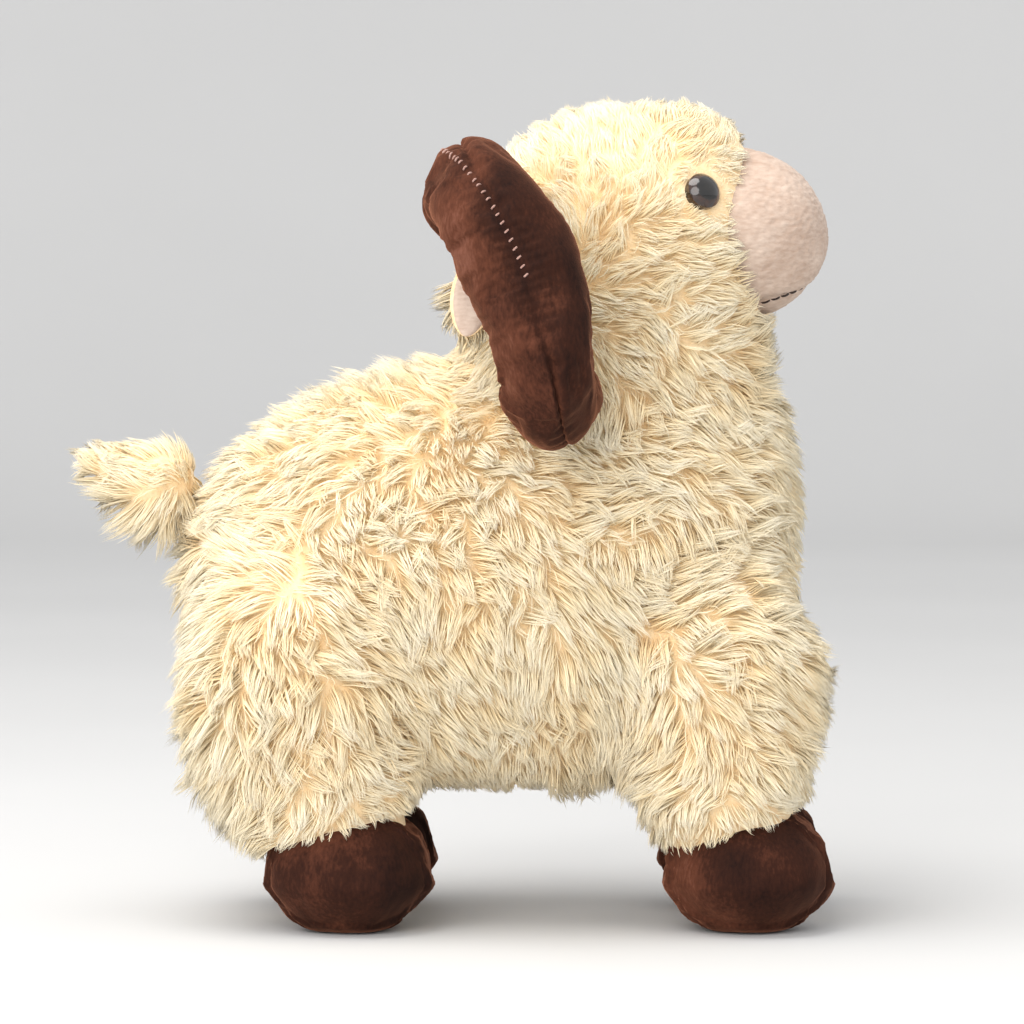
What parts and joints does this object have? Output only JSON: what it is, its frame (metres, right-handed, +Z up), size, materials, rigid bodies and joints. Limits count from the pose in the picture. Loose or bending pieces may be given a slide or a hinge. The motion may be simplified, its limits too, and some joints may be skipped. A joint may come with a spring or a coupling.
{
  "type": "stuffed ram toy",
  "caption": "Standing stuffed ram toy with a long-pile fur body, curled velour horns, small ears, a short tail and flat-soled velour hooves.",
  "frame": {"origin": "on the floor, under the middle of the toy's box", "axes": "+X towards the face, +Y to the toy's left, +Z up"},
  "size_m": [0.248, 0.2126, 0.272],
  "materials": {
    "fur_cream": "matte",
    "plush_beige": "matte",
    "velour_brown": "matte",
    "fibre_filling": "matte",
    "thread_brown": "matte",
    "thread_pale": "matte",
    "thread_cream": "matte",
    "eye_brown": "gloss",
    "pupil_black": "gloss",
    "washer_plastic": "matte"
  },
  "bodies": {
    "toy_body": {"belly_gusset": "fur_cream", "closing_stitches": "thread_cream", "eye_iris_left": "eye_brown", "eye_iris_right": "eye_brown", "eye_pupil_left": "pupil_black", "eye_pupil_right": "pupil_black", "eye_washer_left": "washer_plastic", "eye_washer_right": "washer_plastic", "front_hoof_cover_left": "velour_brown", "front_hoof_cover_right": "velour_brown", "front_hoof_sole_left": "velour_brown", "front_hoof_sole_right": "velour_brown", "front_leg_cover_left": "fur_cream", "front_leg_cover_right": "fur_cream", "front_leg_stuffing_left": "fibre_filling", "front_leg_stuffing_right": "fibre_filling", "head_gusset": "fur_cream", "head_panel_left": "fur_cream", "head_panel_right": "fur_cream", "head_stuffing": "fibre_filling", "mouth_stitches": "thread_brown", "muzzle_cover": "plush_beige", "muzzle_stuffing": "fibre_filling", "rear_hoof_cover_left": "velour_brown", "rear_hoof_cover_right": "velour_brown", "rear_hoof_sole_left": "velour_brown", "rear_hoof_sole_right": "velour_brown", "rear_leg_cover_left": "fur_cream", "rear_leg_cover_right": "fur_cream", "rear_leg_stuffing_left": "fibre_filling", "rear_leg_stuffing_right": "fibre_filling", "torso_panel_left": "fur_cream", "torso_panel_right": "fur_cream", "torso_stuffing": "fibre_filling"},
    "tail": {"tail_lower_panel": "fur_cream", "tail_stuffing": "fibre_filling", "tail_upper_panel": "fur_cream"},
    "horn_left": {"horn_back_panel_left": "velour_brown", "horn_front_panel_left": "velour_brown", "horn_stitches_left": "thread_pale", "horn_stuffing_left": "fibre_filling"},
    "horn_right": {"horn_back_panel_right": "velour_brown", "horn_front_panel_right": "velour_brown", "horn_stitches_right": "thread_pale", "horn_stuffing_right": "fibre_filling"},
    "ear_left": {"ear_back_left": "fur_cream", "ear_lining_left": "plush_beige"},
    "ear_right": {"ear_back_right": "fur_cream", "ear_lining_right": "plush_beige"}
  },
  "joints": [
    {"name": "tail_flex", "type": "hinge", "parent": "toy_body", "child": "tail", "pos_m": [-0.0986, 0, 0.145], "axis": [0, 1, 0], "range_deg": [-20, 35], "stiffness_Nm_per_rad": 0.03},
    {"name": "horn_left_flex", "type": "hinge", "parent": "toy_body", "child": "horn_left", "pos_m": [0.01135, 0.0505, 0.23463], "axis": [1, 0, 0], "range_deg": [-2, 15], "stiffness_Nm_per_rad": 0.25},
    {"name": "ear_left_flex", "type": "hinge", "parent": "toy_body", "child": "ear_left", "pos_m": [0.00924, 0.03236, 0.21906], "axis": [1, 0, 0], "range_deg": [-10, 25], "stiffness_Nm_per_rad": 0.005},
    {"name": "horn_right_flex", "type": "hinge", "parent": "toy_body", "child": "horn_right", "pos_m": [0.01135, -0.0505, 0.23463], "axis": [-1, 0, 0], "range_deg": [-2, 15], "stiffness_Nm_per_rad": 0.25},
    {"name": "ear_right_flex", "type": "hinge", "parent": "toy_body", "child": "ear_right", "pos_m": [0.00924, -0.03236, 0.21906], "axis": [-1, 0, 0], "range_deg": [-10, 25], "stiffness_Nm_per_rad": 0.005}
  ]
}
